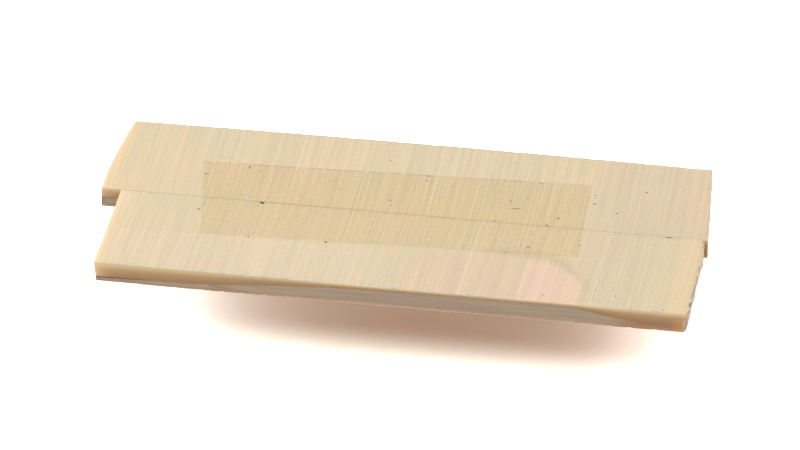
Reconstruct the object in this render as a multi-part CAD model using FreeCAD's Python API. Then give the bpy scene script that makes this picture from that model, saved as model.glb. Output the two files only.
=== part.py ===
"""A pair of flat sawn bone blanks for bone folders, butted edge to edge and held by one strip of clear tape.

Frame, in millimetres: X runs along the blanks, Y across them from the front blank to the rear one, Z is up.
The origin is on the resting plane, below the middle of the seam between the two blanks.
The tape bridges the seam on the top faces, so it is the hinge that lets the blanks close like a book.
"""

import FreeCAD, Part

import os

# Driving dimensions.
BLANK_THICKNESS = 4.0
SEAM_GAP = 0.05  # clearance between the two butted edges
EDGE_BREAK = 0.2  # chamfer left by breaking the sawn edges

REAR_WIDTH = 25.1  # at the two ends
REAR_BOW = 0.5  # the far edge bulges by this much at its middle
REAR_LEFT = -56.35  # the left end, at the seam
REAR_RIGHT = 56.3  # the right end, at the seam
REAR_LEFT_TAPER = 1.4  # how far each end leans in over the width
REAR_RIGHT_TAPER = 2.5
REAR_LEFT_BOW = 0.45  # the left end bulges by this much at its middle

FRONT_WIDTH = 25.9
FRONT_LEFT = -52.55
FRONT_RIGHT = 56.15
FRONT_UNDERCUT = 0.5  # both end saw cuts lean in by this much towards the underside
FRONT_CORNER = (0.7, 6.0)  # the knocked-off corner at the seam's right end: along X, along Y

TAPE_WIDTH = 25.4  # one-inch tape
TAPE_LENGTH = 70.6  # along its middle
TAPE_END_SLANT = 1.5  # the left end is cut askew by this much, each way from its middle
TAPE_SKEW = 2.6  # degrees, the strip against the seam
TAPE_CENTRE = (-2.1, 1.4)
FILM_THICKNESS = 0.04
ADHESIVE_THICKNESS = 0.02
ADHESIVE_OOZE = 0.15  # the adhesive creeps out past the film by this much

CUTTER_SIZE = 400.0  # larger than the whole pair


def vector(x, y, z=0.0):
    return FreeCAD.Vector(x, y, z)


def polygon_face(points):
    return Part.Face(Part.makePolygon(points + points[:1]))


def bowed(start, end, bulge):
    """An arc from start to end whose middle stands off the straight line by the vector bulge."""
    return Part.Arc(start, (start + end) * 0.5 + bulge, end).toShape()


def break_edges(body):
    """The slab with the rims of its top and underside chamfered."""
    level = [face for face in body.Faces if abs(face.normalAt(0, 0).z) > 0.99]
    return body.makeChamfer(EDGE_BREAK, [edge for face in level for edge in face.Edges])


def rear_blank():
    """A slab with leaning ends, the left one bowed, and a bowed far edge."""
    near = SEAM_GAP / 2
    far = near + REAR_WIDTH
    near_left = vector(REAR_LEFT, near)
    far_left = vector(REAR_LEFT + REAR_LEFT_TAPER, far)
    far_right = vector(REAR_RIGHT - REAR_RIGHT_TAPER, far)
    near_right = vector(REAR_RIGHT, near)
    outline = Part.Wire(
        [
            bowed(near_left, far_left, vector(-REAR_LEFT_BOW, 0)),
            bowed(far_left, far_right, vector(0, REAR_BOW)),
            Part.makeLine(far_right, near_right),
            Part.makeLine(near_right, near_left),
        ]
    )
    return break_edges(Part.Face(outline).extrude(vector(0, 0, BLANK_THICKNESS)))


def front_blank():
    """A slab whose ends lean in towards the underside, with one corner knocked off at the seam."""
    far = -SEAM_GAP / 2
    near = far - FRONT_WIDTH
    profile = polygon_face(
        [
            vector(FRONT_LEFT + FRONT_UNDERCUT, near, 0),
            vector(FRONT_RIGHT - FRONT_UNDERCUT, near, 0),
            vector(FRONT_RIGHT, near, BLANK_THICKNESS),
            vector(FRONT_LEFT, near, BLANK_THICKNESS),
        ]
    )
    along_x, along_y = FRONT_CORNER
    corner = polygon_face(
        [
            vector(FRONT_RIGHT - along_x, far),
            vector(FRONT_RIGHT, far - along_y),
            vector(FRONT_RIGHT + along_x, far),
        ]
    ).extrude(vector(0, 0, BLANK_THICKNESS))
    return break_edges(profile.extrude(vector(0, FRONT_WIDTH, 0)).cut(corner))


def tape_layer(z, thickness, margin):
    """One layer of the strip before it is parted at the seam, reaching margin past the film's own outline."""
    half_length = TAPE_LENGTH / 2 + margin
    half_width = TAPE_WIDTH / 2 + margin
    layer = polygon_face(
        [
            vector(-half_length + TAPE_END_SLANT, -half_width, z),
            vector(half_length, -half_width, z),
            vector(half_length, half_width, z),
            vector(-half_length - TAPE_END_SLANT, half_width, z),
        ]
    ).extrude(vector(0, 0, thickness))
    layer.rotate(vector(0, 0), vector(0, 0, 1), TAPE_SKEW)
    layer.translate(vector(*TAPE_CENTRE))
    return layer


def leaf(layer, side):
    """The part of a tape layer on one blank: side is 1 for the rear blank and -1 for the front one."""
    near = SEAM_GAP / 2 if side > 0 else -SEAM_GAP / 2 - CUTTER_SIZE
    half_space = Part.makeBox(CUTTER_SIZE, CUTTER_SIZE, CUTTER_SIZE, vector(-CUTTER_SIZE / 2, near))
    return layer.common(half_space)


def build():
    """Every sub-part by its node's name."""
    adhesive = tape_layer(BLANK_THICKNESS, ADHESIVE_THICKNESS, ADHESIVE_OOZE)
    film = tape_layer(BLANK_THICKNESS + ADHESIVE_THICKNESS, FILM_THICKNESS, 0.0)
    return {
        "rear_blank": rear_blank(),
        "front_blank": front_blank(),
        "tape_adhesive_rear": leaf(adhesive, 1),
        "tape_adhesive_front": leaf(adhesive, -1),
        "tape_film_rear": leaf(film, 1),
        "tape_film_front": leaf(film, -1),
    }


os.makedirs("parts", exist_ok=True)
for node, shape in build().items():
    solid = shape.Solids[0]
    if len(shape.Solids) != 1 or not solid.isValid():
        raise RuntimeError(f"{node} is not one valid solid")
    solid.exportStep(f"parts/{node}.step")
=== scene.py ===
"""Looks for a pair of sawn bone blanks butted edge to edge and taped together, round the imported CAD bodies.

Lengths are millimetres in the row frame until a mesh is made. Each mesh keeps them in its "rest" attribute,
which the materials read, so that a pattern stays on its blank when the pair folds.
"""

import itertools
import math

import bpy
import numpy as np
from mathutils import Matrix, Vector

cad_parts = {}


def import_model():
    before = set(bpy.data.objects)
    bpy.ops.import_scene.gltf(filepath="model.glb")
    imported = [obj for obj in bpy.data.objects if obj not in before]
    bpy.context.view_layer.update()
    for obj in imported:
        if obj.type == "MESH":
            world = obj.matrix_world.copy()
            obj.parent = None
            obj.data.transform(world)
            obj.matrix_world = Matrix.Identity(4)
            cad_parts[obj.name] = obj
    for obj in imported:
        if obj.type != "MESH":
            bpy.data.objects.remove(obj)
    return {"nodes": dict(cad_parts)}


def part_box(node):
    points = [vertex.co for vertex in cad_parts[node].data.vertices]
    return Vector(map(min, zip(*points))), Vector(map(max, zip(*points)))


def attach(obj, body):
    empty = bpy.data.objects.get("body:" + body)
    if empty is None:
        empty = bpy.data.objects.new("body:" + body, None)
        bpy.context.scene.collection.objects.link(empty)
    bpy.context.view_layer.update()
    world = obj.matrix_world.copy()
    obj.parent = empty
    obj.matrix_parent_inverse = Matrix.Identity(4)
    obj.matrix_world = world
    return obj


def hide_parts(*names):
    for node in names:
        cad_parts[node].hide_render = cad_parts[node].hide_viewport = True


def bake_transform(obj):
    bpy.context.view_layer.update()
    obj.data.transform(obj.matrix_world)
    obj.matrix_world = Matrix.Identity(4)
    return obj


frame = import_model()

MM = 0.001
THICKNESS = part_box("rear_blank")[1].z / MM
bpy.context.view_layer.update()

# The grid of each blank's mesh.
COLUMNS = 400
ROWS = 80
LEVELS = 22
RIM = 0.10  # radius of the rounded edges
END_ZONE = 12.0  # the columns turn from the saw marks' slant to the end's slant over this length

# How the saw marks lie on each blank: their lean away from square, as a slope.
REAR_SKEW = -0.017
FRONT_SKEW = 0.0175

# The strip of tape, laid askew over the seam.
TAPE_WIDTH = 25.4
TAPE_LENGTH = 70.6
TAPE_END_SLANT = 1.5
TAPE_SKEW = math.radians(2.6)
TAPE_CENTRE = np.array([-2.1, 1.4])
ADHESIVE_OOZE = 0.40  # a dirty halo of adhesive shows this far beyond the film
SHEET_GAP = 0.002  # keeps touching sheets from sharing a plane

# The camera, and the floor below the raised pair. Places and lengths are metres, apart from the lens's.
AZIMUTH = math.radians(9.54)
ELEVATION = math.radians(31.18)
DISTANCE = 1.3519
TARGET = Vector((0.000116, -0.0040, 0.0040))
LENS = 333.4
SENSOR = 36.0
FLOOR_DROP = 0.0122
FLOOR_HALF = 8.0


def srgb(red, green, blue):
    """A linear colour from screen values between 0 and 255."""
    values = np.array([red, green, blue]) / 255
    return np.where(values > 0.04045, ((values + 0.055) / 1.055) ** 2.4, values / 12.92)


# Colours of the sawn top. The glows at the ends are painted glow: paler, yellower colour where light passes
# through the bone near the ends.
CREAM = srgb(222, 205, 171)
PEACH = srgb(226, 205, 172)
GREENISH = srgb(217, 206, 175)
LEFT_GLOW = srgb(243, 222, 183)
GOLDEN_END_GLOW = srgb(235, 209, 167)
RIGHT_GLOW = srgb(231, 208, 172)
LONG_EDGE_PALE = srgb(216, 206, 182)
PALE_LINE = srgb(234, 221, 194)
BLOB = srgb(233, 205, 180)
BESIDE_BLOB = srgb(224, 199, 173)
BLOB_RING = srgb(212, 191, 162)
NEAR_STRIP = srgb(232, 210, 184)
RIGHT_DULL = srgb(214, 190, 170)

# Colours down the long edges, from the top to the boundary of the outer layer, and below it. Over the outer
# layer's own colour, the darkening down the face is painted shade, and the paler band at its top is a painted
# highlight on the lit rim.
FACE_HIGH = srgb(204, 191, 153)
RIM_HIGHLIGHT = srgb(216, 200, 172)
FACE_MIDDLE = srgb(179, 150, 107)
FACE_LOW = srgb(151, 122, 91)
CORE = srgb(176, 162, 136)
CORE_DARK = srgb(164, 148, 136)
RIGHT_CORE = srgb(168, 138, 106)
RUST = srgb(161, 116, 86)
GOLD = srgb(198, 152, 92)
# The pale colour of broken bone. It is also used for a painted highlight on the front blank's lower near rim
# and for painted shade on the rear blank's far rim.
CHALK_AND_PAINTED_LIGHT = srgb(206, 188, 164)

CRACK = srgb(104, 72, 46)
# Dirt in the seam and in spots. The same colour is also painted shade on the front blank's lower near rim.
GRIME_AND_PAINTED_SHADE = srgb(120, 88, 60)

# Colours of the tape and of what it caught.
FILM = srgb(232, 208, 160)
BORDER_DIRT = srgb(134, 94, 62)
GRIT_DARK = srgb(44, 32, 24)
GRIT_PALE = srgb(186, 150, 118)

# Saw marks that show as pale lines: x where each meets the seam, and its strength.
REAR_PALE_LINES = [(-45.2, 0.35), (-21.8, 0.8), (4.3, 0.5), (12.2, 0.45), (29.0, 0.45), (42.4, 0.55)]
FRONT_PALE_LINES = [(-49.2, 0.4), (-36.0, 0.45), (-23.6, 0.45), (14.7, 0.9), (38.6, 0.6), (48.6, 0.45)]


# ---------------------------------------------------------------- noise and shaping helpers


def noise(seed, *coordinates):
    """Smooth value noise from 0 to 1 over one to three coordinates, one lattice cell per unit."""
    size = {1: 1024, 2: 256, 3: 48}[len(coordinates)]
    table = np.random.default_rng(seed).random((size,) * len(coordinates))
    cells = [np.floor(c).astype(int) for c in coordinates]
    shares = [c - k for c, k in zip(coordinates, cells)]
    shares = [t * t * (3 - 2 * t) for t in shares]
    total = 0.0
    for corner in itertools.product((0, 1), repeat=len(coordinates)):
        weight = 1.0
        for share, step in zip(shares, corner):
            weight = weight * (share if step else 1 - share)
        total = total + weight * table[tuple((k + s) % size for k, s in zip(cells, corner))]
    return total


def smooth(value, low, high):
    """0 below low and 1 above high, easing between them."""
    t = np.clip((value - low) / (high - low), 0, 1)
    return t * t * (3 - 2 * t)


def turning(angle):
    """The matrix that turns a flat vector by an angle."""
    return np.array([[math.cos(angle), -math.sin(angle)], [math.sin(angle), math.cos(angle)]])


def toward(colours, target, share):
    """Each row of colours moved towards target by its share."""
    return colours + (np.asarray(target) - colours) * share[:, None]


# ---------------------------------------------------------------- meshes


def grid_lines(length, count, rim):
    """Grid lines along one side of a slab: close together over its rounded rims, even between them."""
    rims = np.array([0.0, 0.12, 0.45]) * rim
    return np.concatenate([rims, np.linspace(rim, length - rim, count), (length - rims)[::-1]])


def slab_surface(counts):
    """The grid places on a box grid's surface, and the quads between them facing outwards."""
    outside = np.zeros(counts, bool)
    outside[[0, -1]] = outside[:, [0, -1]] = outside[:, :, [0, -1]] = True
    index = np.full(counts, -1)
    index[outside] = np.arange(outside.sum())
    sheets = [
        (index[0], True), (index[-1], False),
        (index[:, 0], False), (index[:, -1], True),
        (index[:, :, 0], True), (index[:, :, -1], False),
    ]
    quads = []
    for sheet, turned in sheets:
        corners = [sheet[:-1, :-1], sheet[1:, :-1], sheet[1:, 1:], sheet[:-1, 1:]]
        sheet_quads = np.stack(corners, -1).reshape(-1, 4)
        quads.append(sheet_quads[:, ::-1] if turned else sheet_quads)
    return np.argwhere(outside), np.concatenate(quads)


def make_piece(name, points, faces, material, smooth_shaded=True, **attributes):
    """A mesh object from points in millimetres, with named values kept at its vertices."""
    mesh = bpy.data.meshes.new(name)
    mesh.from_pydata((points * MM).tolist(), [], faces.tolist() if isinstance(faces, np.ndarray) else faces)
    mesh.polygons.foreach_set("use_smooth", np.full(len(mesh.polygons), smooth_shaded))
    kinds = {"rest": ("FLOAT_VECTOR", "vector"), "tint": ("FLOAT_COLOR", "color")}
    for key, values in {"rest": points, **attributes}.items():
        kind, field = kinds.get(key, ("FLOAT", "value"))
        if kind == "FLOAT_COLOR":
            values = np.column_stack([values, np.ones(len(values))])
        layer = mesh.attributes.new(key, kind, "POINT")
        layer.data.foreach_set(field, np.asarray(values, np.float32).ravel())
    mesh.materials.append(material)
    mesh.update()
    piece = bpy.data.objects.new(name, mesh)
    bpy.context.scene.collection.objects.link(piece)
    return piece


def cad_hit(node, start, direction):
    """Where a ray from start, in millimetres, meets a CAD node."""
    found, place, _, _ = frame["nodes"][node].ray_cast(Vector(start) * MM, Vector(direction))
    if not found:
        raise RuntimeError(f"a ray missed {node}")
    return np.array(place) / MM


class Outline:
    """A CAD blank's sides, as functions of place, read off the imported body."""

    STATIONS = 40
    INSET = 0.3  # keeps the rays clear of the chamfers
    END_INSET = 3.0  # keeps them clear of the slanted ends

    def __init__(self, node):
        self.low, self.high = (np.array(corner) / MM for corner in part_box(node))
        self.length, self.width, self.thickness = self.high - self.low
        self.middle = (self.low + self.high) / 2
        away = 2 * self.length
        self.ys = np.linspace(self.low[1] + self.INSET, self.high[1] - 2 * self.INSET, self.STATIONS)
        self.xs = np.linspace(self.low[0] + self.END_INSET, self.high[0] - self.END_INSET, self.STATIONS)
        levels = (self.low[2] + self.INSET, self.high[2] - self.INSET)
        self.ends = [
            [[cad_hit(node, (side * away, y, z), (-side, 0, 0))[0] for y in self.ys] for z in levels]
            for side in (-1, 1)
        ]
        self.edges = [
            [cad_hit(node, (x, side * away, self.middle[2]), (0, -side, 0))[1] for x in self.xs]
            for side in (-1, 1)
        ]

    def end(self, side, y, z):
        """The end face's x: side 0 is the left end, 1 the right one."""
        under, over = (np.interp(y, self.ys, values) for values in self.ends[side])
        rise = (z - self.low[2] - self.INSET) / (self.thickness - 2 * self.INSET)
        return under + (over - under) * rise

    def edge(self, side, x):
        """The long edge's y: side 0 faces the viewer, 1 faces away."""
        return np.interp(x, self.xs, self.edges[side])


class Slab:
    """A blank's dense mesh before wear: points on the CAD outline, with rounded rims."""

    def __init__(self, node, skew):
        self.outline = outline = Outline(node)
        size = np.array([outline.length, outline.width, outline.thickness])
        lines = [grid_lines(s, n, RIM) for s, n in zip(size, (COLUMNS, ROWS, LEVELS))]
        places, self.faces = slab_surface([len(line) for line in lines])
        flat = np.column_stack([line[places[:, axis]] for axis, line in enumerate(lines)])
        core = np.clip(flat, RIM, size - RIM)
        outward = flat - core
        self.normal = outward / np.linalg.norm(outward, axis=1)[:, None]
        rounded = core + self.normal * RIM
        self.rim_distance = np.sort(np.minimum(flat, size - flat), axis=1)[:, 1]
        self.points = self.fitted(rounded, skew)
        self.left_distance = rounded[:, 0]
        self.right_distance = outline.length - rounded[:, 0]

    def fitted(self, rounded, skew):
        """Carries the straight box onto the outline, its inner columns lying along the saw marks."""
        outline = self.outline
        z = outline.low[2] + rounded[:, 2]
        x_plain = outline.low[0] + rounded[:, 0]
        near, far = outline.edge(0, x_plain), outline.edge(1, x_plain)
        y = near + (far - near) * rounded[:, 1] / outline.width
        at_left = 1 - smooth(rounded[:, 0], 0, END_ZONE)
        at_right = 1 - smooth(outline.length - rounded[:, 0], 0, END_ZONE)
        x = x_plain + skew * (y - outline.middle[1]) * (1 - at_left - at_right)
        x += at_left * (outline.end(0, y, z) - outline.low[0])
        x += at_right * (outline.end(1, y, z) - outline.high[0])
        return np.column_stack([x, y, z])


# ---------------------------------------------------------------- the blanks


def saw_relief(x_along, y, seed):
    """Height of the marks a saw leaves across a face, never above the plain face."""
    fine = noise(seed, x_along / 0.55, y / 5) - 0.5
    mid = noise(seed + 1, x_along / 1.3, y / 11) - 0.5
    slow = noise(seed + 2, x_along / 7, y / 14) - 0.5
    return 0.016 * fine + 0.012 * mid + 0.03 * slow - 0.03


def cut_relief(slab, skew, seed):
    """Height of each vertex above the plain slab, by the cut that made its face."""
    x, y, z = slab.points.T
    nx, ny, nz = slab.normal.T
    top = saw_relief(x - skew * y, y, seed)
    under = saw_relief(x + 2 * skew * y, y, seed + 10)
    planed = 0.02 * (noise(seed + 20, z / 0.3, x / 9) - 0.5) + 0.03 * (noise(seed + 21, x / 6, z / 2) - 0.5)
    torn = 0.07 * (noise(seed + 30, y / 0.6, z / 0.7) - 0.6) + 0.10 * (noise(seed + 31, y / 3, z / 3) - 0.5)
    return np.maximum(nz, 0) * top + np.maximum(-nz, 0) * under + np.abs(ny) * planed + np.abs(nx) * torn


def rim_wear(slab, seed, roughness):
    """How far the rims are worn or nicked inwards. roughness scales it at each vertex."""
    x, y, _ = slab.points.T
    at_rim = np.exp(-((slab.rim_distance / 0.22) ** 2))
    worn = 0.02 + 0.04 * noise(seed, x / 2.3, y / 2.3)
    nicked = 0.30 * smooth(noise(seed + 1, x / 0.6, y / 0.6), 0.6, 0.95)
    butted = 1 - 0.75 * np.exp(-np.abs(y) / 0.5)
    return at_rim * (worn + nicked) * roughness * butted


def bitten(points, bites):
    """Scoops a round bite out of the surface at each (x, y, z, radius)."""
    for *centre, radius in bites:
        away = points - np.array(centre)
        distance = np.linalg.norm(away, axis=1)
        inside = distance < radius
        deeper = away[inside] / np.maximum(distance[inside], 1e-6)[:, None] * radius
        points[inside] = np.array(centre) + deeper
    return points


def faceted(points, place, direction):
    """Breaks a corner off: nothing is left beyond the plane through place that faces direction."""
    outward = np.array(direction) / np.linalg.norm(direction)
    beyond = np.maximum((points - np.array(place)) @ outward, 0)
    return points - beyond[:, None] * outward


def rim_chips(seed, count, low, high, sizes):
    """Seeded bites along a straight rim from low to high."""
    draw = np.random.default_rng(seed)
    shares = draw.random(count)[:, None]
    places = np.array(low) + (np.array(high) - np.array(low)) * shares
    return [(*place, draw.uniform(*sizes)) for place in places]


# The cracks along the layer boundary, open at the left ends, fade out between these places.
FRONT_CRACK_FADES = (-44, -41)
REAR_CRACK_FADES = (-51, -44)

# How deep the front blank's pale outer layer reaches along its near face.
FRONT_LAYER_X = [-53, -44, -33, -22, -9, 4, 16, 29, 35, 40, 43.5, 47, 56]
FRONT_LAYER_DEPTH = [3.05, 2.95, 2.8, 1.8, 1.0, 0.72, 0.62, 0.6, 0.6, 1.5, 2.1, 2.4, 2.6]


def front_boundary(points):
    """Depth of the boundary between the two layers of bone in the front blank."""
    x, y, _ = points.T
    inwards = y - points[:, 1].min()
    wander = 0.12 * (noise(71, x / 2.5, y / 4) - 0.5)
    return np.interp(x, FRONT_LAYER_X, FRONT_LAYER_DEPTH) + 0.06 * inwards + wander


def rear_boundary(points):
    """Depth of the boundary in the rear blank, whose near face is hidden in the seam."""
    x, y, _ = points.T
    depth = 2.05 + 0.02 * (x + 56) * smooth(x, -56, -30) + 0.05 * y + 0.3 * (noise(72, x / 7, y / 6) - 0.5)
    return np.clip(depth, 0.8, 3.3)


def top_colours(slab, skew, seed, right_glow):
    """The sawn faces drift between cream, peach and a greenish cast, in streaks along the saw marks."""
    x, y, _ = slab.points.T
    along = x - skew * y
    mix = 0.6 * noise(seed, along / 9, y / 10) + 0.4 * noise(seed + 1, along / 1.6, y / 12)
    colours = np.tile(CREAM, (len(x), 1))
    colours = toward(colours, PEACH, 0.75 * smooth(mix, 0.5, 0.75))
    colours = toward(colours, GREENISH, 0.5 * smooth(mix, 0.5, 0.22))
    colours = toward(colours, NEAR_STRIP, 0.45 * smooth(y, -12, -14) * smooth(x, 5, -8))
    duller = smooth(x, 32, 40) * (1 - smooth(x, 41, 46) * smooth(y, 0, -2))
    colours = toward(colours, RIGHT_DULL, 0.32 * duller)
    colours = toward(colours, LONG_EDGE_PALE, 0.85 * smooth(np.abs(y), 24.2, 25.7))
    # Painted glow: the top turns paler and yellower near the ends, where light passes through the bone.
    left = slab.left_distance
    colours = toward(colours, LEFT_GLOW, np.exp(-left / 1.8))
    golden = (0.15 + 0.45 * smooth(y, -1, 1)) * smooth(left, 0.2, 0.9) * smooth(left, 2.6, 1.7)
    colours = toward(colours, GOLDEN_END_GLOW, golden)
    right = smooth(slab.right_distance, 5.5, 3.0) * smooth(slab.right_distance, 0.1, 0.9)
    return toward(colours, RIGHT_GLOW, right_glow * right)


def side_colours(slab, depth, boundary):
    """The outer layer's colour darkens down the long edges towards its boundary: painted shade, with a
    painted highlight along the lit upper rim. The left end is paler, a painted glow where light passes
    through the bone.
    """
    share = np.maximum(depth - 0.15, 0) / boundary
    lit_rim = smooth(depth, 0.75, 0.2) * smooth(slab.points[:, 0], -30, 5)
    colours = toward(np.tile(FACE_HIGH, (len(depth), 1)), RIM_HIGHLIGHT, 0.8 * lit_rim)
    colours = toward(colours, FACE_MIDDLE, smooth(share, 0.05, 0.45) * (1 - 0.5 * lit_rim))
    colours = toward(colours, FACE_LOW, smooth(share, 0.35, 1.0) * (1 - 0.5 * lit_rim))
    return toward(colours, LEFT_GLOW, 0.6 * np.exp(-slab.left_distance / 1.5))


def blob_colours(points, colours):
    """The pink patch near the front blank's right end, where the lower layer comes close under the top.

    A greyer band runs over its crown, the bone right of it is greener and the bone left of it pinker."""
    x, y, _ = points.T
    wobble = 0.5 * (noise(91, x / 2, y / 3) - 0.5)
    beyond = x - 26
    crown = -11.8 - np.where(beyond > 0, 0.075, 0.6) * beyond**2 + wobble
    inside = smooth(crown - y, -0.2, 1.0) * smooth(x + wobble, 22.4, 26.4) * smooth(x + wobble, 36.8, 34.2)
    band_y = -10.4 - 0.075 * np.maximum(beyond, 0) ** 2 + wobble
    band = np.exp(-(((y - band_y) / 1.3) ** 2)) * smooth(x, 14, 22) * smooth(x, 39, 33)
    greener = smooth(x, 35.5, 38.5) * smooth(x, 53, 48) * smooth(y, -7, -12)
    pinker = smooth(x, 3, 12) * smooth(x, 26, 23) * smooth(y, -10, -14)
    colours = toward(colours, GREENISH, 0.5 * greener)
    colours = toward(colours, BESIDE_BLOB, 0.7 * pinker)
    colours = toward(colours, BLOB, inside)
    return toward(colours, BLOB_RING, 0.8 * band * (1 - inside))


def seam_grime(slab, seed):
    """Dirt worked into the butted rims, most of it where the adhesive holds it."""
    x, y, z = slab.points.T
    close = np.exp(-np.abs(y) / 0.14) * smooth(z, 2.0, THICKNESS)
    taped = smooth(x, -40, -36) * (1 - smooth(x, 33, 37))
    patchy = 0.4 + 0.6 * noise(seed, x / 1.7)
    return close * patchy * (0.04 + 0.2 * taped) * (1 - smooth(x, 40, 52))


def long_faces(slab):
    """1 on the two long edges, 0 on the sawn faces and the ends."""
    return smooth(np.abs(slab.normal[:, 1]), 0.6, 0.95)


def streak(slab, start, end, rise):
    """A dark streak in the near face from start to end, (x, depth) each, as thick as rise."""
    x, _, z = slab.points.T
    share = (x - start[0]) / (end[0] - start[0])
    line = start[1] + (end[1] - start[1]) * share
    within = smooth(share, -0.05, 0.25) * smooth(share, 1.05, 0.6)
    return np.exp(-(((THICKNESS - z - line) / rise) ** 2)) * within * long_faces(slab)


def core_below(slab, layer):
    """The sawn underside shows the core all over, whatever the long edges show."""
    below = smooth(slab.normal[:, 2], -0.3, -0.8)
    return layer + below * np.maximum(0.4 - layer, 0)


def crack_groove(slab, layer, crack, depth):
    """How far the crack along the layer boundary cuts into the long edges."""
    return depth * np.exp(-((layer / 0.09) ** 2)) * crack * long_faces(slab)


def blank_tint(slab, boundary, top):
    """The given colours on the sawn top, and round the sides the layers' colours with painted shade and a
    painted highlight.
    """
    tint = side_colours(slab, THICKNESS - slab.points[:, 2], boundary)
    return tint + (top - tint) * smooth(slab.normal[:, 2], 0.3, 0.95)[:, None]


def finished_blank(slab, node, body, material, **looks):
    """Makes the blank's piece, which stands for its CAD node and rides on its body."""
    piece = make_piece(f"{node}_sawn", slab.points, slab.faces, material, **looks)
    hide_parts(node)
    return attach(piece, body)


def front_dirt_and_shade(slab):
    """Grime at the seam, a streak and painted shade along the lower rim of the near face, and spots on the
    right end.
    """
    x, y, z = slab.points.T
    spots = smooth(noise(44, y / 0.35, z / 0.35), 0.66, 0.8) * smooth(z, 3.3, 3.8)
    at_right = spots * np.exp(-slab.right_distance / 0.2)
    second = streak(slab, (-31.6, 2.85), (-26.2, 3.15), 0.14)
    # Painted shade: the lower rim of the near face's left part is darkened.
    painted_low_rim_shade = smooth(x, -14, -30) * smooth(z, 1.2, 0.2) * long_faces(slab)
    return seam_grime(slab, seed=81) + 0.6 * second + 0.15 * at_right + 0.35 * painted_low_rim_shade


def front_chalk_and_highlight(slab):
    """Pale broken bone at the knocked-off corner and the right end's rims, and a painted highlight along the
    near face's lower rim.
    """
    x, _, z = slab.points.T
    # Painted highlight along the lower rim of the near face.
    painted_rim_highlight = smooth(z, 0.5, 0.15) * smooth(x, -40, -20) * smooth(x, 44, 36)
    corner = smooth(x, 55.0, 55.5) * smooth(z, 3.2, 2.2)
    end_rim = np.exp(-slab.right_distance / 0.3)
    return np.clip(0.75 * painted_rim_highlight * long_faces(slab) + 0.8 * corner + 0.4 * end_rim, 0, 1)


def front_chips(end_x, near_y):
    """Bites out of the front blank's right end and near rim, and one beside the seam."""
    end, above_end = end_x + 0.15, THICKNESS + 0.15
    rim, above_rim = near_y - 0.2, THICKNESS + 0.1
    chips = rim_chips(121, 5, (end, -2, above_end), (end, near_y, above_end), (0.22, 0.36))
    chips += rim_chips(122, 6, (-50, rim, above_rim), (54, rim, above_rim), (0.28, 0.34))
    return chips + [(-26.1, 0.1, above_rim, 0.5)]


def front_blank(material):
    slab = Slab("front_blank", FRONT_SKEW)
    boundary = front_boundary(slab.points)
    layer = core_below(slab, THICKNESS - slab.points[:, 2] - boundary)
    crack = 1 - smooth(slab.points[:, 0], *FRONT_CRACK_FADES)
    top = blob_colours(slab.points, top_colours(slab, FRONT_SKEW, seed=41, right_glow=0.8))
    tint = blank_tint(slab, boundary, top)
    dirt, chalk_and_painted_light = front_dirt_and_shade(slab), front_chalk_and_highlight(slab)

    torn = 1 + 3.0 * np.exp(-slab.right_distance / 0.5)
    relief = cut_relief(slab, FRONT_SKEW, seed=101) * torn
    wear = rim_wear(slab, seed=111, roughness=0.5 * torn)
    shift = relief - wear - crack_groove(slab, layer, crack, depth=0.14)
    slab.points += slab.normal * shift[:, None]
    end_x, near_y = slab.outline.high[0], slab.outline.low[1]
    slab.points = bitten(slab.points, front_chips(end_x, near_y))
    slab.points = faceted(slab.points, (end_x - 0.75, near_y + 0.1, 0.0), (1.0, -0.35, -0.5))
    looks = {"tint": tint, "layer": layer, "crack": crack, "dirt": dirt, "chalk_and_painted_light": chalk_and_painted_light}
    return finished_blank(slab, "front_blank", "front", material, **looks)


def rear_blank(material):
    slab = Slab("rear_blank", REAR_SKEW)
    x, y, z = slab.points.T
    far_y = slab.outline.high[1]
    boundary = rear_boundary(slab.points)
    layer = core_below(slab, THICKNESS - z - boundary)
    crack = 1 - smooth(x, *REAR_CRACK_FADES)
    top = top_colours(slab, REAR_SKEW, seed=51, right_glow=0.2)
    tint = blank_tint(slab, boundary, top)
    # Painted shade: the far rim is dulled to a chalk grey.
    painted_far_rim_shade = smooth(y, far_y - 1.0, far_y - 0.2) * smooth(z, 3.0, 3.8)
    chalk_and_painted_light = np.clip(0.8 * painted_far_rim_shade + 0.4 * np.exp(-slab.right_distance / 0.3), 0, 1)
    dirt = seam_grime(slab, seed=82)

    lip = smooth(z, 0.25, 0.7)
    indent = 0.28 * smooth(layer, 0.0, 0.12) * lip * (1 - smooth(x, -52.3, -49)) * long_faces(slab)
    wear = rim_wear(slab, seed=211, roughness=0.4 + 0.2 * smooth(y, 24.0, 25.0))
    relief = cut_relief(slab, REAR_SKEW, seed=201)
    shift = relief - wear - indent - crack_groove(slab, layer, crack, depth=0.1)
    slab.points += slab.normal * shift[:, None]
    rim, above_rim = far_y - 0.2, THICKNESS + 0.2
    chips = rim_chips(221, 16, (-54, rim, above_rim), (53, rim, above_rim), (0.26, 0.36))
    slab.points = bitten(slab.points, chips)
    looks = {"tint": tint, "layer": layer, "crack": crack, "dirt": dirt, "chalk_and_painted_light": chalk_and_painted_light}
    return finished_blank(slab, "rear_blank", "rear", material, **looks)


# ---------------------------------------------------------------- the tape


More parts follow.
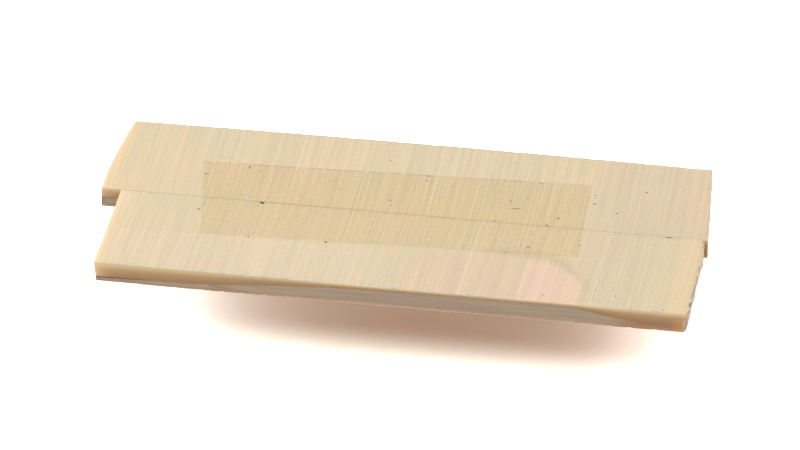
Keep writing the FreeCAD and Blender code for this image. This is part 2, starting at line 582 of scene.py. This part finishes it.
class Strip:
    """The tape's grid: each point's place on the tape, and how far it is from the tape's ends and sides."""

    def __init__(self, margin, columns, rows):
        self.half_length = TAPE_LENGTH / 2 + margin
        self.half_width = TAPE_WIDTH / 2 + margin
        share = np.linspace(0, 1, columns)[:, None]
        seam = np.zeros_like(share)
        for _ in range(8):  # the slanted left end moves the seam's place, so it is closed in on
            seam = -(TAPE_CENTRE[1] + self.along(share, seam) * math.sin(TAPE_SKEW)) / math.cos(TAPE_SKEW)
        near, far = (self.spread(seam, side * self.half_width, rows) for side in (-1, 1))
        self.across = np.concatenate([near[:, ::-1], far[:, 1:]], axis=1)
        self.s = self.along(share, self.across)
        start = self.along(np.zeros_like(share), self.across)
        self.left, self.right = self.s - start, self.half_length - self.s
        self.near, self.far = self.half_width + self.across, self.half_width - self.across

    def along(self, share, across):
        """Place along the tape at a share of its length, with the slanted left end."""
        start = -self.half_length - TAPE_END_SLANT * across / self.half_width
        return start + (self.half_length - start) * share

    @staticmethod
    def spread(seam, border, rows):
        """Rows from the seam to a border: small steps over the crease first, even ones after."""
        crease = np.array([0.0, 0.04, 0.08, 0.12, 0.2, 0.4])
        even = crease[-1] + (np.abs(border - seam) - crease[-1]) * np.linspace(0, 1, rows)[1:]
        distance = np.concatenate([np.broadcast_to(crease, (len(seam), len(crease))), even], axis=1)
        return seam + np.sign(border) * distance

    def placed(self, s, across):
        """Points of the tape in the row frame."""
        return np.stack([s, across], -1) @ turning(TAPE_SKEW).T + TAPE_CENTRE


def thin_sheet(name, strip, low, thickness, material, ragged, seed):
    """A closed, very thin sheet in the tape's outline, its border pulled in a little here and there."""
    pull = ragged * noise(seed, strip.s / 0.8, strip.across / 0.8)
    end_pull = np.exp(-strip.left / 0.4) - np.exp(-strip.right / 0.4)
    side_pull = np.exp(-strip.near / 0.4) - np.exp(-strip.far / 0.4)
    flat = strip.placed(strip.s + pull * end_pull, strip.across + pull * side_pull)
    places, faces = slab_surface((*strip.s.shape, 2))
    pick = (places[:, 0], places[:, 1])
    points = np.column_stack([flat[pick], low + SHEET_GAP + (thickness - 2 * SHEET_GAP) * places[:, 2]])
    borders = {side: getattr(strip, side)[pick] for side in ("left", "right", "near", "far")}
    piece = make_piece(name, points, faces, material, smooth_shaded=False, **borders)
    piece.visible_shadow = False
    piece.visible_diffuse = False
    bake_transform(piece)
    return piece


def tape(film_look, adhesive_look):
    """The film and the adhesive under it, each one sheet across both blanks."""
    layers = [
        ("tape_adhesive", ADHESIVE_OOZE, adhesive_look, 0.16, 301),
        ("tape_film", 0.0, film_look, 0.05, 302),
    ]
    for name, margin, look, ragged, seed in layers:
        low, high = (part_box(f"{name}_rear")[side].z / MM for side in (0, 1))
        sheet = thin_sheet(name, Strip(margin, 190, 18), low, high - low, look, ragged, seed)
        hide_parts(f"{name}_rear", f"{name}_front")


# ---------------------------------------------------------------- dust and fibres caught under the tape

# Flecks: x, y, length along x and width in millimetres, and tone from 0 (black) to 1 (pale brown).
REAR_FLECKS = [
    (-30.7, 11.8, 0.6, 0.4, 0.3), (-29.3, 10.0, 0.35, 0.3, 0.5), (-38.2, 8.2, 0.45, 0.45, 0.2),
    (-14.5, 9.4, 0.4, 0.35, 0.5), (-3.2, 4.4, 0.5, 0.4, 0.4), (-2.7, 2.7, 0.3, 0.3, 0.5),
    (2.6, 14.1, 0.6, 0.35, 0.4), (2.4, 12.3, 0.45, 0.4, 0.4), (28.2, 3.1, 0.9, 0.3, 0.7),
    (23.3, 15.0, 0.45, 0.4, 0.3), (34.1, 9.3, 0.9, 0.4, 0.9), (18.8, 7.8, 0.7, 0.25, 0.2),
    (43.0, 14.9, 0.45, 0.4, 0.2), (38.6, 6.6, 0.45, 0.35, 0.4), (16.9, 0.45, 0.5, 0.3, 0.4),
    (26.5, 0.4, 0.5, 0.35, 0.3), (33.7, 12.4, 0.6, 0.25, 1.0), (34.0, 11.2, 0.5, 0.2, 1.0),
    (-33.8, 5.2, 0.3, 0.3, 0.5), (-34.7, 3.9, 0.3, 0.25, 0.8), (-12.8, 6.8, 0.3, 0.3, 0.6),
    (-28.4, 11.1, 0.3, 0.25, 0.4), (-5.4, 18.5, 0.3, 0.3, 0.4), (21.6, 9.4, 0.3, 0.4, 0.6),
    (-30.4, 1.9, 0.3, 0.3, 0.9), (-33.9, 0.7, 0.4, 0.25, 0.9),
]
FRONT_FLECKS = [
    (-37.2, -4.4, 0.7, 0.5, 1.0), (-26.4, -12.6, 0.4, 0.4, 0.3), (-12.2, -12.1, 0.6, 0.45, 0.3),
    (24.3, -7.8, 0.55, 0.45, 0.3), (33.4, -5.7, 0.5, 0.4, 0.4), (42.3, -21.9, 0.35, 0.3, 0.3),
    (29.5, -23.7, 0.35, 0.3, 0.4), (-26.1, -0.45, 0.85, 0.75, 0.0), (49.1, -0.2, 1.6, 0.25, 0.3),
    (20.4, -10.4, 0.5, 0.3, 0.7), (16.8, -10.6, 0.45, 0.3, 0.7),
    (-17.8, -4.7, 0.35, 0.25, 0.8), (-18.9, -4.0, 0.3, 0.25, 0.8), (26.6, -4.3, 0.4, 0.3, 0.7),
    (46.9, -3.4, 0.35, 0.3, 0.9), (51.5, -25.2, 0.3, 0.25, 0.3), (-24.2, -25.3, 0.35, 0.3, 0.6),
    (-13.3, -24.4, 0.35, 0.3, 1.0), (-1.9, -25.3, 0.3, 0.25, 0.6), (-26.8, -1.5, 0.4, 0.3, 1.0),
]
DUST_HEIGHT = 0.05
FINE_CRUMBS = 60
FINE_LEAST = (0.12, 0.10, 0.4)  # length, width and tone
FINE_MOST = (0.30, 0.22, 1.0)
FINE_X = (-36, 32)  # the stretch of the seam that the tape covers


def fleck(x, y, length, width, draw):
    """The points and faces of one irregular, flattened crumb lying on a blank."""
    rings, sides = 4, 9
    tilt = draw.uniform(-0.5, 0.5)
    spokes = draw.uniform(0.65, 1.15, sides)
    points = []
    for ring in range(1, rings):
        fall = math.pi * ring / rings
        angles = np.arange(sides) * 2 * math.pi / sides
        across = math.sin(fall) * spokes
        flat = np.column_stack([across * np.cos(angles) * length / 2, across * np.sin(angles) * width / 2])
        height = np.full(sides, math.cos(fall) * DUST_HEIGHT / 2)
        points.append(np.column_stack([flat @ turning(tilt).T, height]))
    poles = np.array([[0, 0, DUST_HEIGHT / 2], [0, 0, -DUST_HEIGHT / 2]])
    points = np.concatenate([*points, poles]) + (x, y, THICKNESS - 0.01)
    faces = []
    top, bottom = len(points) - 2, len(points) - 1
    last = (rings - 2) * sides
    for side in range(sides):
        after = (side + 1) % sides
        faces.append((top, side, after))
        faces.append((bottom, last + after, last + side))
        for ring in range(rings - 2):
            row = ring * sides
            faces.append((row + side, row + sides + side, row + sides + after, row + after))
    return points, faces


def dust(name, body, flecks, y_range, seed, material):
    """The flecks on one blank, with finer seeded crumbs between them."""
    draw = np.random.default_rng(seed)
    lows, highs = (FINE_X[0], y_range[0], *FINE_LEAST), (FINE_X[1], y_range[1], *FINE_MOST)
    finer = [tuple(draw.uniform(lows, highs)) for _ in range(FINE_CRUMBS)]
    points, faces, tones = [], [], []
    for x, y, length, width, tone in flecks + finer:
        crumb, sides = fleck(x, y, length, width, draw)
        offset = sum(len(p) for p in points)
        faces += [tuple(corner + offset for corner in face) for face in sides]
        points.append(crumb)
        tones += [tone] * len(crumb)
    piece = make_piece(name, np.concatenate(points), faces, material, tone=tones)
    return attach(piece, body)


def fibre(name, body, ends, bend, radius, material):
    """A hair-like fibre: a thin round thread from end to end, bowed sideways by bend."""
    segments, sides = 18, 7
    start, end = np.array(ends[0]), np.array(ends[1])
    side_way = np.array([start[1] - end[1], end[0] - start[0]]) / np.linalg.norm(end - start)
    points = []
    for share in np.linspace(0, 1, segments):
        centre = start + (end - start) * share + side_way * bend * math.sin(math.pi * share)
        thickness = radius * (0.4 + 0.6 * math.sin(math.pi * share) ** 0.5)
        for angle in np.arange(sides) * 2 * math.pi / sides:
            away = side_way * math.cos(angle) * thickness
            height = THICKNESS - 0.005 + min(thickness * math.sin(angle), 0.02)
            points.append((*(centre + away), height))
    faces = [tuple(range(sides))[::-1], tuple(range((segments - 1) * sides, segments * sides))]
    for segment in range(segments - 1):
        for turn in range(sides):
            after = (turn + 1) % sides
            low, high = segment * sides, (segment + 1) * sides
            faces.append((low + turn, low + after, high + after, high + turn))
    piece = make_piece(name, np.array(points), faces, material, tone=np.full(len(points), 0.1))
    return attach(piece, body)


# ---------------------------------------------------------------- materials


def put(tree, kind, inputs, **settings):
    """Adds a node. Each input is a plain value or another node's output."""
    made = tree.nodes.new(kind)
    for key, value in settings.items():
        setattr(made, key, value)
    for key, value in inputs.items():
        if isinstance(value, bpy.types.NodeSocket):
            tree.links.new(value, made.inputs[key])
        else:
            made.inputs[key].default_value = value
    return made


def attribute(tree, name, output="Fac"):
    return put(tree, "ShaderNodeAttribute", {}, attribute_name=name).outputs[output]


def arithmetic(tree, operation, first, second=0.0):
    return put(tree, "ShaderNodeMath", {0: first, 1: second}, operation=operation).outputs[0]


def product(tree, *values):
    """The values multiplied together."""
    total = values[0]
    for value in values[1:]:
        total = arithmetic(tree, "MULTIPLY", total, value)
    return total


def distance(tree, value, place):
    return arithmetic(tree, "ABSOLUTE", arithmetic(tree, "SUBTRACT", value, place))


def axes(tree, vector):
    """A vector's three coordinates."""
    return put(tree, "ShaderNodeSeparateXYZ", {"Vector": vector}).outputs


def eased(tree, value, low, high, start=0.0, end=1.0):
    """Maps low..high onto start..end, easing."""
    inputs = {"Value": value, "From Min": low, "From Max": high, "To Min": start, "To Max": end}
    return put(tree, "ShaderNodeMapRange", inputs, interpolation_type="SMOOTHSTEP").outputs[0]


def mixed(tree, share, first, second, blend="MIX"):
    """The first colour moved towards the second by share."""
    inputs = {0: share, 6: first, 7: second}
    settings = {"data_type": "RGBA", "blend_type": blend, "clamp_factor": True}
    return put(tree, "ShaderNodeMix", inputs, **settings).outputs[2]


def colour(values):
    return (*[float(v) for v in values], 1.0)


def stretched(tree, vector, scale):
    return put(tree, "ShaderNodeVectorMath", {0: vector, 1: scale}, operation="MULTIPLY").outputs[0]


def grain(tree, vector, scale, detail=2.0, roughness=0.5):
    """Noise over the vector multiplied by scale, one cell per unit."""
    place = stretched(tree, vector, scale)
    inputs = {"Vector": place, "Scale": 1.0, "Detail": detail, "Roughness": roughness}
    return put(tree, "ShaderNodeTexNoise", inputs).outputs[0]


def new_material(name):
    material = bpy.data.materials.new(name)
    material.use_nodes = True
    tree = material.node_tree
    return material, tree, tree.nodes["Principled BSDF"]


class BoneFields:
    """What every part of the bone's look reads: place, facing, and noise along and across the saw marks."""

    def __init__(self, tree, skew):
        self.tree = tree
        self.rest = attribute(tree, "rest", "Vector")
        self.x, self.y, self.z = axes(tree, self.rest)
        self.along = arithmetic(tree, "SUBTRACT", self.x, product(tree, self.y, skew))
        normal = put(tree, "ShaderNodeNewGeometry", {}).outputs["Normal"]
        own_normal = put(
            tree, "ShaderNodeVectorTransform", {"Vector": normal},
            vector_type="NORMAL", convert_from="WORLD", convert_to="OBJECT",
        ).outputs[0]
        facing_up = axes(tree, own_normal)[2]
        self.flat = eased(tree, arithmetic(tree, "ABSOLUTE", facing_up), 0.5, 0.9)
        self.below = eased(tree, facing_up, -0.5, -0.9)
        self.not_below = arithmetic(tree, "SUBTRACT", 1.0, self.below)
        sheared = put(tree, "ShaderNodeCombineXYZ", {0: self.along, 1: self.y, 2: self.z}).outputs[0]
        self.fine = grain(tree, sheared, (2.7, 0.02, 0.5), 2.0, 0.5)
        self.wide = grain(tree, sheared, (0.7, 0.04, 0.3), 2.0)
        self.streaks = grain(tree, self.rest, (0.07, 0.4, 3.0), 3.0, 0.6)


def saw_level(bone):
    """How bright the saw marks and the mottle leave each spot of the sawn faces."""
    tree = bone.tree
    mottle = grain(tree, bone.rest, (2.8, 1.7, 2.4), 3.0, 0.7)
    lines = eased(tree, bone.fine, 0.25, 0.75, 0.945, 1.055)
    bands = eased(tree, bone.wide, 0.3, 0.7, 0.989, 1.011)
    specks = eased(tree, mottle, 0.3, 0.7, 0.962, 1.038)
    return mixed(tree, bone.flat, colour((1, 1, 1)), product(tree, lines, bands, specks))


def pale_marks(bone, pale_lines):
    """The share of pale line at each spot of the sawn faces. Each line has gaps."""
    tree = bone.tree
    gaps = eased(tree, grain(tree, bone.rest, (0.5, 0.5, 0.5), 2.0), 0.3, 0.6, 0.4, 1.0)
    pale = 0.0
    for place, strength in pale_lines:
        away = distance(tree, bone.along, place)
        pale = arithmetic(tree, "MAXIMUM", pale, eased(tree, away, 0.06, 0.22, strength, 0.0))
    return product(tree, pale, gaps, bone.flat)


def core_colour(bone, level):
    """The streaky grey core. Its stripes fade on the underside, and its right end is rusty."""
    tree = bone.tree
    stripes = eased(tree, bone.streaks, 0.38, 0.62)
    stripes = mixed(tree, product(tree, bone.below, 0.6), stripes, colour((0.5, 0.5, 0.5)))
    core = mixed(tree, stripes, colour(CORE_DARK), colour(CORE))
    at_right = product(tree, eased(tree, bone.x, 40.5, 46.5), bone.not_below)
    core = mixed(tree, at_right, core, colour(RIGHT_CORE))
    rust_height = arithmetic(tree, "SUBTRACT", 2.73, product(tree, bone.x, 0.03))
    off_rust = distance(tree, bone.z, rust_height)
    rusty = product(tree, eased(tree, bone.x, 45, 48), eased(tree, off_rust, 0.2, 0.6, 0.85, 0.0))
    core = mixed(tree, product(tree, rusty, bone.not_below), core, colour(RUST))
    return mixed(tree, 1.0, core, level, "MULTIPLY")


def layered(bone, outer, core):
    """The outer layer over the core, parted by a wandering line and, where the mesh says so, a crack."""
    tree = bone.tree
    layer = attribute(tree, "layer")
    wander = eased(tree, grain(tree, bone.rest, (0.7, 0.7, 3.0)), 0.2, 0.8, -0.1, 0.1)
    shown = arithmetic(tree, "ADD", layer, wander)
    both = mixed(tree, eased(tree, shown, -0.12, 0.2), outer, core)
    line = eased(tree, arithmetic(tree, "ABSOLUTE", layer), 0.05, 0.13, 1.0, 0.0)
    cracked = product(tree, line, attribute(tree, "crack"), bone.not_below)
    return mixed(tree, cracked, both, colour(CRACK))


def marked(bone, shade):
    """Adds the golden corner of the front blank, chalk on broken rims, a painted highlight and painted shade
    on other rims, and dirt that is partly painted shade.
    """
    tree = bone.tree
    corner = product(tree, eased(tree, bone.x, 52.6, 54.6), eased(tree, bone.y, -25.2, -25.7))
    corner = product(tree, corner, eased(tree, bone.z, 3.4, 2.4, 0.0, 0.7))
    shade = mixed(tree, corner, shade, colour(GOLD))
    shade = mixed(tree, attribute(tree, "chalk_and_painted_light"), shade, colour(CHALK_AND_PAINTED_LIGHT))
    # On the front blank the dirt mark also carries painted shade along the lower near rim.
    return mixed(tree, attribute(tree, "dirt"), shade, colour(GRIME_AND_PAINTED_SHADE))


def bone_material(name, skew, pale_lines):
    """Sawn bone: a cream outer layer over a grey core, with light scattered under fine saw marks."""
    material, tree, surface = new_material(name)
    bone = BoneFields(tree, skew)
    level = saw_level(bone)
    outer = mixed(tree, 1.0, attribute(tree, "tint", "Color"), level, "MULTIPLY")
    outer = mixed(tree, pale_marks(bone, pale_lines), outer, colour(PALE_LINE))
    shade = marked(bone, layered(bone, outer, core_colour(bone, level)))
    tree.links.new(shade, surface.inputs["Base Color"])
    surface.subsurface_method = "RANDOM_WALK"
    surface.inputs["Subsurface Weight"].default_value = 0.85
    surface.inputs["Subsurface Radius"].default_value = (1.0, 0.62, 0.36)
    surface.inputs["Subsurface Scale"].default_value = 0.9 * MM
    surface.inputs["IOR"].default_value = 1.5
    tree.links.new(eased(tree, bone.fine, 0.3, 0.7, 0.62, 0.48), surface.inputs["Roughness"])
    height = mixed(tree, bone.flat, bone.streaks, bone.fine)
    bump = put(tree, "ShaderNodeBump", {"Height": height, "Strength": 0.5, "Distance": 0.012 * MM})
    tree.links.new(bump.outputs[0], surface.inputs["Normal"])
    return material


def veil(material, tree, surface, share, tint):
    """Shows the surface in the given share, and light tinted by passing through it in the rest."""
    clear = put(tree, "ShaderNodeBsdfTransparent", {"Color": tint})
    blend = put(tree, "ShaderNodeMixShader", {0: share, 1: clear.outputs[0], 2: surface.outputs[0]})
    tree.links.new(blend.outputs[0], tree.nodes["Material Output"].inputs["Surface"])
    return material


def film_material():
    """Clear tape film: hardly there but for a soft gloss, stronger at a grazing angle."""
    material, tree, surface = new_material("clear_tape_film")
    rest = attribute(tree, "rest", "Vector")
    surface.inputs["Base Color"].default_value = colour(FILM)
    surface.inputs["Roughness"].default_value = 0.32
    facing = put(tree, "ShaderNodeFresnel", {"IOR": 1.3}).outputs[0]
    ripple = grain(tree, rest, (0.25, 0.9, 1.0), 2.0)
    bump = put(tree, "ShaderNodeBump", {"Height": ripple, "Strength": 0.4, "Distance": 0.02 * MM})
    tree.links.new(bump.outputs[0], surface.inputs["Normal"])
    return veil(material, tree, surface, product(tree, facing, 0.12), colour((1, 1, 1)))


def adhesive_tint(tree, rest):
    """A yellow veil, a little deeper over the rear blank, with streaks where it fills the saw marks."""
    x, y, _ = axes(tree, rest)
    lean = product(tree, arithmetic(tree, "ABSOLUTE", y), FRONT_SKEW)
    along = arithmetic(tree, "ADD", x, lean)
    sheared = put(tree, "ShaderNodeCombineXYZ", {0: along, 1: y, 2: 0.0}).outputs[0]
    streaks = eased(tree, grain(tree, sheared, (2.4, 0.02, 1.0), 3.0, 0.6), 0.32, 0.68)
    specks = grain(tree, rest, (3.0, 2.2, 1.0), 2.0, 0.6)
    over_rear, over_front = colour((0.993, 0.981, 0.965)), colour((0.997, 0.989, 0.978))
    tint = mixed(tree, eased(tree, y, 0.5, -5.0), over_rear, over_front)
    line_tint = mixed(tree, streaks, colour((1, 1, 1)), colour((0.955, 0.945, 0.918)))
    yellower, pinker = colour((0.999, 1.0, 0.984)), colour((0.999, 0.996, 1.0))
    cloudy = eased(tree, grain(tree, rest, (0.10, 0.16, 1.0), 2.0), 0.35, 0.65)
    line_tint = mixed(tree, 1.0, line_tint, mixed(tree, cloudy, yellower, pinker), "MULTIPLY")
    dapple = eased(tree, specks, 0.35, 0.65, 0.976, 1.006)
    return mixed(tree, 1.0, tint, mixed(tree, 1.0, line_tint, dapple, "MULTIPLY"), "MULTIPLY")


def border_haze(tree, rest):
    """The dirt caught in lines along the film's border, and a halo that fades beyond it."""
    broken = eased(tree, grain(tree, rest, (0.35, 0.35, 1.0), 3.0, 0.7), 0.36, 0.62)
    smudged = eased(tree, grain(tree, rest, (0.8, 0.6, 1.0), 3.0, 0.7), 0.45, 0.75)
    haze, closest = 0.0, 9.0
    for side, width, least, most, patches in [
        ("far", 0.36, 0.05, 0.22, broken), ("near", 0.30, 0.01, 0.10, broken),
        ("left", 1.3, 0.0, 0.06, smudged), ("right", 0.8, 0.0, 0.08, smudged),
    ]:
        inwards = attribute(tree, side)
        closest = arithmetic(tree, "MINIMUM", closest, inwards)
        off_line = distance(tree, inwards, ADHESIVE_OOZE)
        held = eased(tree, off_line, width * 0.2, width, 1.0, 0.0)
        strength = eased(tree, patches, 0.0, 1.0, least, most)
        haze = arithmetic(tree, "MAXIMUM", haze, product(tree, held, strength))
    halo = eased(tree, closest, 0.0, 1.8 * ADHESIVE_OOZE)
    return product(tree, haze, halo), halo


def adhesive_material():
    """Aged adhesive: a thin yellow veil, with dirt caught along its border."""
    material, tree, surface = new_material("aged_tape_adhesive")
    rest = attribute(tree, "rest", "Vector")
    haze, halo = border_haze(tree, rest)
    tint = mixed(tree, halo, colour((1, 1, 1)), adhesive_tint(tree, rest))
    surface.inputs["Base Color"].default_value = colour(BORDER_DIRT)
    surface.inputs["Roughness"].default_value = 0.6
    surface.inputs["Specular IOR Level"].default_value = 0.2
    return veil(material, tree, surface, haze, tint)


def dust_material():
    """Brown and black grit, darker or lighter from crumb to crumb."""
    material, tree, surface = new_material("trapped_grit")
    rest = attribute(tree, "rest", "Vector")
    tone = attribute(tree, "tone")
    body = mixed(tree, tone, colour(GRIT_DARK), colour(GRIT_PALE))
    speckle = eased(tree, grain(tree, rest, (9.0, 9.0, 9.0), 3.0), 0.3, 0.7, 0.7, 1.2)
    tree.links.new(mixed(tree, 1.0, body, speckle, "MULTIPLY"), surface.inputs["Base Color"])
    surface.inputs["Roughness"].default_value = 0.85
    return material


# ---------------------------------------------------------------- stage, light and camera


def floor_material():
    """Overexposed white paper: brighter to the camera than to the blanks, and plain white far away."""
    material, tree, surface = new_material("white_paper")
    surface.inputs["Roughness"].default_value = 0.9
    surface.inputs["Specular IOR Level"].default_value = 0.0
    place = put(tree, "ShaderNodeNewGeometry", {}).outputs["Position"]
    reach = put(tree, "ShaderNodeVectorMath", {0: place}, operation="LENGTH").outputs["Value"]
    far = eased(tree, reach, 0.10, 0.25)
    seen = put(tree, "ShaderNodeLightPath", {}).outputs["Is Camera Ray"]
    paper = mixed(tree, seen, colour((0.35, 0.31, 0.305)), colour((0.9, 0.9, 0.9)))
    # Painted light: a warm glow that only the camera sees brightens and warms the shadow under the pair,
    # standing in for light bounced off the bone.
    glow = mixed(tree, seen, colour((0, 0, 0)), colour((0.235, 0.128, 0.078)))
    tree.links.new(paper, surface.inputs["Base Color"])
    tree.links.new(glow, surface.inputs["Emission Color"])
    surface.inputs["Emission Strength"].default_value = 1.0
    white = put(tree, "ShaderNodeEmission", {"Color": colour((1, 1, 1)), "Strength": 1.1})
    inputs = {0: product(tree, far, seen), 1: surface.outputs[0], 2: white.outputs[0]}
    blend = put(tree, "ShaderNodeMixShader", inputs)
    tree.links.new(blend.outputs[0], tree.nodes["Material Output"].inputs["Surface"])
    return material


def stage_object(name, points, faces, material):
    mesh = bpy.data.meshes.new(name)
    mesh.from_pydata(points, [], faces)
    mesh.materials.append(material)
    item = bpy.data.objects.new(name, mesh)
    bpy.context.scene.collection.objects.link(item)
    return item


def stage():
    paper = floor_material()
    signs = [(-1, -1), (1, -1), (1, 1), (-1, 1)]
    corners = [(FLOOR_HALF * x, FLOOR_HALF * y, -FLOOR_DROP) for x, y in signs]
    return stage_object("floor", corners, [(0, 1, 2, 3)], paper)


def area_light(name, place, target, size, power, tone):
    data = bpy.data.lights.new(name, "AREA")
    data.shape = "RECTANGLE"
    data.size, data.size_y = size
    data.energy = power
    data.color = tone
    lamp = bpy.data.objects.new(name, data)
    lamp.location = place
    lamp.rotation_euler = (Vector(target) - Vector(place)).to_track_quat("-Z", "Y").to_euler()
    bpy.context.scene.collection.objects.link(lamp)
    return lamp


def lights(paper):
    """A softbox overhead. Three more lights reach only the paper, and overexpose it round the shadow."""
    area_light("overhead_softbox", (-0.25, 0.10, 0.90), (0, 0, 0), (2.4, 2.2), 21.0, (0.96, 0.99, 1.0))
    only_stage = bpy.data.collections.new("lit_paper")
    only_stage.objects.link(paper)
    for name, place, size, power, tone in [
        ("paper_lift_top", (0.20, 0.10, 0.90), (2.0, 2.0), 53.0, (1.0, 1.0, 0.88)),
        ("paper_lift_left", (-0.80, 0.46, 0.375), (0.5, 0.4), 28.0, (1.0, 1.0, 0.95)),
        ("paper_lift_right", (0.785, 0.453, 0.423), (0.5, 0.4), 7.6, (1.0, 0.91, 0.88)),
    ]:
        lift = area_light(name, place, (0, 0, 0), size, power, tone)
        lift.light_linking.receiver_collection = only_stage


def world():
    """White to the camera, a dim room to everything else."""
    room = bpy.data.worlds.new("studio_room")
    room.use_nodes = True
    tree = room.node_tree
    dim = tree.nodes["Background"]
    dim.inputs[0].default_value = colour((1.0, 0.86, 0.74))
    dim.inputs[1].default_value = 0.30
    white = put(tree, "ShaderNodeBackground", {0: colour((1, 1, 1)), 1: 1.1})
    seen = put(tree, "ShaderNodeLightPath", {}).outputs["Is Camera Ray"]
    blend = put(tree, "ShaderNodeMixShader", {0: seen, 1: dim.outputs[0], 2: white.outputs[0]})
    tree.links.new(blend.outputs[0], tree.nodes["World Output"].inputs["Surface"])
    bpy.context.scene.world = room
    bpy.context.scene.view_settings.view_transform = "Standard"
    bpy.context.scene.view_settings.look = "None"


def camera():
    data = bpy.data.cameras.new("camera")
    data.lens = LENS
    data.sensor_width = SENSOR
    data.clip_start, data.clip_end = 0.05, 30.0
    eye = bpy.data.objects.new("camera", data)
    level = math.cos(ELEVATION)
    back = Vector((math.sin(AZIMUTH) * level, -math.cos(AZIMUTH) * level, math.sin(ELEVATION)))
    eye.location = TARGET + back * DISTANCE
    eye.rotation_euler = (-back).to_track_quat("-Z", "Y").to_euler()
    bpy.context.scene.collection.objects.link(eye)
    bpy.context.scene.camera = eye


front_blank(bone_material("sawn_bone_front", FRONT_SKEW, FRONT_PALE_LINES))
rear_blank(bone_material("sawn_bone_rear", REAR_SKEW, REAR_PALE_LINES))
tape(film_material(), adhesive_material())
grit = dust_material()
dust("trapped_dust_rear", "rear", REAR_FLECKS, y_range=(0.5, 13.5), seed=401, material=grit)
dust("trapped_dust_front", "front", FRONT_FLECKS, y_range=(-11.0, -0.5), seed=402, material=grit)
hair_ends = ((19.2, 5.05), (21.0, 5.2))
fibre("trapped_fibre_rear", "rear", hair_ends, bend=0.12, radius=0.07, material=grit)
lights(stage())
world()
camera()
